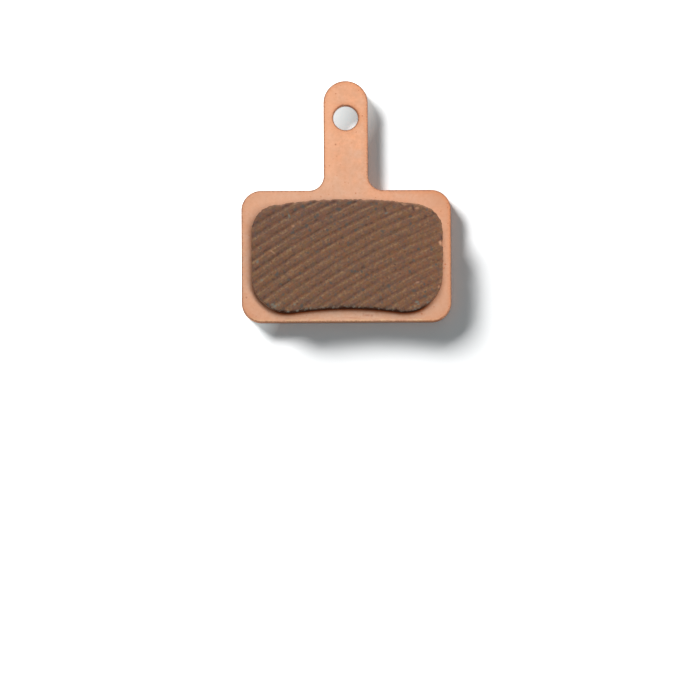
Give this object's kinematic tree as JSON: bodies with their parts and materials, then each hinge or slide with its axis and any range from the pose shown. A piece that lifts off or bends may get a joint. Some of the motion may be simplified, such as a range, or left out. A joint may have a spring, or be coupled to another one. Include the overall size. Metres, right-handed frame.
{
  "type": "bicycle disc brake pad",
  "caption": "Flat copper-plated steel plate with a hanging tab and pin hole, carrying a bonded, grooved friction block that a bicycle caliper presses against its disc rotor.",
  "frame": {"origin": "middle of the plate's body on its back face, where the caliper piston pushes", "axes": "+X across the pad, +Y towards the tip of the hanging tab, +Z out of the friction face"},
  "size_m": [0.0296, 0.0341, 0.0038],
  "materials": {
    "copper_plated_steel": "matte copper plating on stamped steel, lightly mottled, darker along the edges",
    "sintered_friction": "rough sintered metal with fine grains, machined with shallow curved grooves"
  },
  "bodies": {
    "root": {"backing_plate": "copper_plated_steel", "friction_block": "sintered_friction"}
  },
  "joints": []
}
